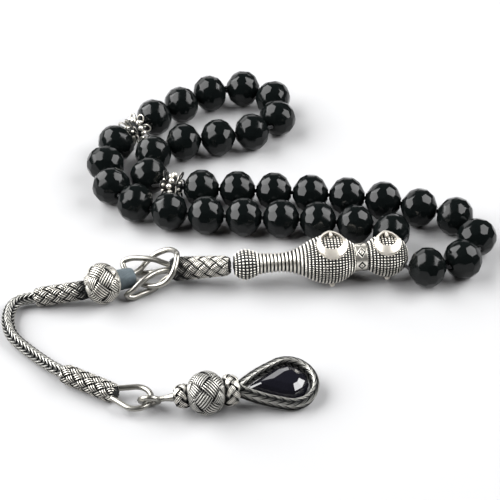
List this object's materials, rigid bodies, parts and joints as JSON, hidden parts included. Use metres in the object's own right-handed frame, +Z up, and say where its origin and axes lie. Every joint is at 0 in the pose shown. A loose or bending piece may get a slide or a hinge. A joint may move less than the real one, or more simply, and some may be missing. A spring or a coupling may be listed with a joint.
{
  "type": "misbaha prayer beads",
  "caption": "String of faceted black prayer beads in groups between silver spacers, with a turned silver head piece and a knitted wire tassel ending in a set stone.",
  "frame": {"origin": "on the table under the middle of the object as it lies", "axes": "+Z up off the table, +X from the tassel side towards the string holes of the head piece, +Y from the tassel towards the far end of the loop"},
  "size_m": [0.1196, 0.1296, 0.0129],
  "materials": {
    "onyx": "polished black stone",
    "silver": "bright silver with dark recesses",
    "dark_silver": "darkened silver wire",
    "string": "waxed thread"
  },
  "bodies": {
    "head_piece": {"imame_body": "silver", "imame_ornaments": "silver", "string_0": "string"},
    "strand_1": {"string_1": "string"},
    "strand_2": {"string_2": "string"},
    "strand_3": {"string_3": "string"},
    "strand_4": {"string_4": "string"},
    "tassel_head": {"upper_sleeve": "dark_silver", "string_knot": "string", "hook_wires": "silver"},
    "tassel_link": {"link_wire": "silver", "wrapped_collar": "dark_silver", "woven_ball_upper": "silver", "middle_sleeve": "silver", "chain_1": "silver"},
    "chain_part_2": {"chain_2": "silver"},
    "chain_part_3": {"chain_3": "silver"},
    "chain_end": {"chain_4": "silver", "lower_sleeve": "silver"},
    "ring": {"ring": "silver"},
    "pendant": {"eye_pin": "silver", "woven_ball_lower": "silver", "pendant_collars": "silver", "stone_frame": "dark_silver", "stone": "onyx"},
    "spacer_a": {"spacer_a": "silver"},
    "spacer_b": {"spacer_b": "silver"},
    "bead_01": {"bead_01": "onyx"},
    "bead_02": {"bead_02": "onyx"},
    "bead_03": {"bead_03": "onyx"},
    "bead_04": {"bead_04": "onyx"},
    "bead_05": {"bead_05": "onyx"},
    "bead_06": {"bead_06": "onyx"},
    "bead_07": {"bead_07": "onyx"},
    "bead_08": {"bead_08": "onyx"},
    "bead_09": {"bead_09": "onyx"},
    "bead_10": {"bead_10": "onyx"},
    "bead_11": {"bead_11": "onyx"},
    "bead_12": {"bead_12": "onyx"},
    "bead_13": {"bead_13": "onyx"},
    "bead_14": {"bead_14": "onyx"},
    "bead_15": {"bead_15": "onyx"},
    "bead_16": {"bead_16": "onyx"},
    "bead_17": {"bead_17": "onyx"},
    "bead_18": {"bead_18": "onyx"},
    "bead_19": {"bead_19": "onyx"},
    "bead_20": {"bead_20": "onyx"},
    "bead_21": {"bead_21": "onyx"},
    "bead_22": {"bead_22": "onyx"},
    "bead_23": {"bead_23": "onyx"},
    "bead_24": {"bead_24": "onyx"},
    "bead_25": {"bead_25": "onyx"},
    "bead_26": {"bead_26": "onyx"},
    "bead_27": {"bead_27": "onyx"},
    "bead_28": {"bead_28": "onyx"},
    "bead_29": {"bead_29": "onyx"},
    "bead_30": {"bead_30": "onyx"},
    "bead_31": {"bead_31": "onyx"},
    "bead_32": {"bead_32": "onyx"},
    "bead_33": {"bead_33": "onyx"}
  },
  "joints": [
    {"name": "loop_lift_1", "type": "hinge", "parent": "head_piece", "child": "strand_1", "pos_m": [0.01989, 0.00687, 0.00473], "axis": [-0.1517, 0.9884, 0.003], "range_deg": [0, 14]},
    {"name": "loop_lift_2", "type": "hinge", "parent": "strand_1", "child": "strand_2", "pos_m": [0.00128, 0.00848, 0.00475], "axis": [-0.1479, 0.989, 0], "range_deg": [0, 14]},
    {"name": "loop_lift_3", "type": "hinge", "parent": "strand_2", "child": "strand_3", "pos_m": [-0.0338, 0.02291, 0.00475], "axis": [0.8979, 0.4402, 0], "range_deg": [0, 14]},
    {"name": "loop_lift_4", "type": "hinge", "parent": "strand_3", "child": "strand_4", "pos_m": [-0.00632, 0.0492, 0.00475], "axis": [0.1275, -0.9918, 0], "range_deg": [0, 14]},
    {"name": "tassel_swing", "type": "hinge", "parent": "head_piece", "child": "tassel_head", "pos_m": [-0.0053, -0.017, 0.006], "axis": [0, 0, 1], "range_deg": [-10, 10]},
    {"name": "knot_swing", "type": "hinge", "parent": "tassel_head", "child": "tassel_link", "pos_m": [-0.0225, -0.0155, 0.004], "axis": [0, 0, 1], "range_deg": [-2.5, 2.5]},
    {"name": "chain_bend_1", "type": "hinge", "parent": "tassel_link", "child": "chain_part_2", "pos_m": [-0.058, -0.0286, 0.0017], "axis": [0, 0, 1], "range_deg": [-15, 15]},
    {"name": "chain_bend_2", "type": "hinge", "parent": "chain_part_2", "child": "chain_part_3", "pos_m": [-0.0562, -0.0376, 0.0017], "axis": [0, 0, -1], "range_deg": [-15, 15]},
    {"name": "chain_bend_3", "type": "hinge", "parent": "chain_part_3", "child": "chain_end", "pos_m": [-0.0484, -0.0458, 0.0017], "axis": [0, 0, 1], "range_deg": [-15, 15]},
    {"name": "ring_swing", "type": "hinge", "parent": "chain_end", "child": "ring", "pos_m": [-0.032, -0.0567, 0.00235], "axis": [0, 0, 1], "range_deg": [-8, 8]},
    {"name": "pendant_lift", "type": "hinge", "parent": "ring", "child": "pendant", "pos_m": [-0.0231, -0.05935, 0.00235], "axis": [-0.2861, -0.9582, 0], "range_deg": [0, 50]},
    {"name": "spin_bead_01", "type": "hinge", "parent": "head_piece", "child": "bead_01", "pos_m": [0.04184, -0.01663, 0.00501], "axis": [0.9801, 0.1912, -0.0529], "continuous": true},
    {"name": "spin_bead_02", "type": "hinge", "parent": "head_piece", "child": "bead_02", "pos_m": [0.05073, -0.01326, 0.00475], "axis": [0.7564, 0.6539, -0.0146], "continuous": true},
    {"name": "spin_bead_03", "type": "hinge", "parent": "head_piece", "child": "bead_03", "pos_m": [0.055, -0.00482, 0.00475], "axis": [-0.0323, 0.9995, 0], "continuous": true},
    {"name": "spin_bead_04", "type": "hinge", "parent": "head_piece", "child": "bead_04", "pos_m": [0.05042, 0.00352, 0.00475], "axis": [-0.7848, 0.6198, 0], "continuous": true},
    {"name": "spin_bead_05", "type": "hinge", "parent": "head_piece", "child": "bead_05", "pos_m": [0.0417, 0.00701, 0.00475], "axis": [-0.9384, 0.3456, 0], "continuous": true},
    {"name": "spin_bead_06", "type": "hinge", "parent": "head_piece", "child": "bead_06", "pos_m": [0.0328, 0.00985, 0.00475], "axis": [-0.9675, 0.2527, 0], "continuous": true},
    {"name": "spin_bead_07", "type": "hinge", "parent": "head_piece", "child": "bead_07", "pos_m": [0.02369, 0.01164, 0.00475], "axis": [-0.9909, 0.1346, 0], "continuous": true},
    {"name": "spin_bead_08", "type": "hinge", "parent": "strand_1", "child": "bead_08", "pos_m": [0.01443, 0.01273, 0.00475], "axis": [-0.9944, 0.1053, 0], "continuous": true},
    {"name": "spin_bead_09", "type": "hinge", "parent": "strand_1", "child": "bead_09", "pos_m": [0.00509, 0.01363, 0.00475], "axis": [-0.9964, 0.085, 0], "continuous": true},
    {"name": "spin_bead_10", "type": "hinge", "parent": "strand_2", "child": "bead_10", "pos_m": [-0.00419, 0.01427, 0.00475], "axis": [-0.9982, 0.0596, 0], "continuous": true},
    {"name": "spin_bead_11", "type": "hinge", "parent": "strand_2", "child": "bead_11", "pos_m": [-0.01343, 0.01487, 0.00475], "axis": [-0.9976, 0.0699, 0], "continuous": true},
    {"name": "spin_bead_12", "type": "hinge", "parent": "strand_2", "child": "bead_12", "pos_m": [-0.02714, 0.02032, 0.00475], "axis": [-0.3034, 0.9529, 0], "continuous": true},
    {"name": "spin_bead_13", "type": "hinge", "parent": "strand_3", "child": "bead_13", "pos_m": [-0.02645, 0.0297, 0.00475], "axis": [0.5968, 0.8024, 0], "continuous": true},
    {"name": "spin_bead_14", "type": "hinge", "parent": "strand_3", "child": "bead_14", "pos_m": [-0.01866, 0.03517, 0.00475], "axis": [0.9505, 0.3109, 0], "continuous": true},
    {"name": "spin_bead_15", "type": "hinge", "parent": "strand_3", "child": "bead_15", "pos_m": [-0.00956, 0.03712, 0.00475], "axis": [0.9795, 0.2012, 0], "continuous": true},
    {"name": "spin_bead_16", "type": "hinge", "parent": "strand_4", "child": "bead_16", "pos_m": [-0.00051, 0.03967, 0.00475], "axis": [0.9081, 0.4188, 0], "continuous": true},
    {"name": "spin_bead_17", "type": "hinge", "parent": "strand_4", "child": "bead_17", "pos_m": [0.00643, 0.04611, 0.00475], "axis": [0.3576, 0.9339, 0], "continuous": true},
    {"name": "spin_bead_18", "type": "hinge", "parent": "strand_4", "child": "bead_18", "pos_m": [0.0053, 0.05532, 0.00475], "axis": [-0.6771, 0.7359, 0], "continuous": true},
    {"name": "spin_bead_19", "type": "hinge", "parent": "strand_4", "child": "bead_19", "pos_m": [-0.00293, 0.0602, 0.00475], "axis": [-0.987, 0.1607, 0], "continuous": true},
    {"name": "spin_bead_20", "type": "hinge", "parent": "strand_3", "child": "bead_20", "pos_m": [-0.01213, 0.05793, 0.00475], "axis": [-0.8795, -0.4758, 0], "continuous": true},
    {"name": "spin_bead_21", "type": "hinge", "parent": "strand_3", "child": "bead_21", "pos_m": [-0.01979, 0.05251, 0.00475], "axis": [-0.7803, -0.6254, 0], "continuous": true},
    {"name": "spin_bead_22", "type": "hinge", "parent": "strand_3", "child": "bead_22", "pos_m": [-0.0269, 0.04649, 0.00475], "axis": [-0.7331, -0.6801, 0], "continuous": true},
    {"name": "spin_bead_23", "type": "hinge", "parent": "strand_3", "child": "bead_23", "pos_m": [-0.03647, 0.03466, 0.00475], "axis": [-0.4382, -0.8989, 0], "continuous": true},
    {"name": "spin_bead_24", "type": "hinge", "parent": "strand_3", "child": "bead_24", "pos_m": [-0.0387, 0.02543, 0.00475], "axis": [-0.0165, -0.9999, 0], "continuous": true},
    {"name": "spin_bead_25", "type": "hinge", "parent": "strand_2", "child": "bead_25", "pos_m": [-0.0366, 0.01607, 0.00475], "axis": [0.4807, -0.8769, 0], "continuous": true},
    {"name": "spin_bead_26", "type": "hinge", "parent": "strand_2", "child": "bead_26", "pos_m": [-0.03007, 0.00902, 0.00475], "axis": [0.8651, -0.5016, 0], "continuous": true},
    {"name": "spin_bead_27", "type": "hinge", "parent": "strand_2", "child": "bead_27", "pos_m": [-0.02131, 0.00563, 0.00475], "axis": [0.9577, -0.2879, 0], "continuous": true},
    {"name": "spin_bead_28", "type": "hinge", "parent": "strand_2", "child": "bead_28", "pos_m": [-0.01201, 0.00399, 0.00475], "axis": [0.9947, -0.1027, 0], "continuous": true},
    {"name": "spin_bead_29", "type": "hinge", "parent": "strand_2", "child": "bead_29", "pos_m": [-0.00256, 0.00325, 0.00475], "axis": [0.9978, -0.0666, 0], "continuous": true},
    {"name": "spin_bead_30", "type": "hinge", "parent": "strand_1", "child": "bead_30", "pos_m": [0.00678, 0.0026, 0.00475], "axis": [0.9969, -0.0792, 0], "continuous": true},
    {"name": "spin_bead_31", "type": "hinge", "parent": "strand_1", "child": "bead_31", "pos_m": [0.016, 0.00175, 0.00475], "axis": [0.9961, -0.0879, -0.003], "continuous": true},
    {"name": "spin_bead_32", "type": "hinge", "parent": "head_piece", "child": "bead_32", "pos_m": [0.02529, 0.00038, 0.00476], "axis": [0.9625, -0.271, 0.0134], "continuous": true},
    {"name": "spin_bead_33", "type": "hinge", "parent": "head_piece", "child": "bead_33", "pos_m": [0.03401, -0.00324, 0.00499], "axis": [0.7797, -0.6244, 0.047], "continuous": true},
    {"name": "spin_spacer_a", "type": "hinge", "parent": "strand_2", "child": "spacer_a", "pos_m": [-0.02095, 0.01584, 0.00475], "axis": [-0.9723, 0.2337, 0], "continuous": true},
    {"name": "spin_spacer_b", "type": "hinge", "parent": "strand_3", "child": "spacer_b", "pos_m": [-0.03183, 0.04073, 0.00475], "axis": [-0.6528, -0.7575, 0], "continuous": true}
  ]
}
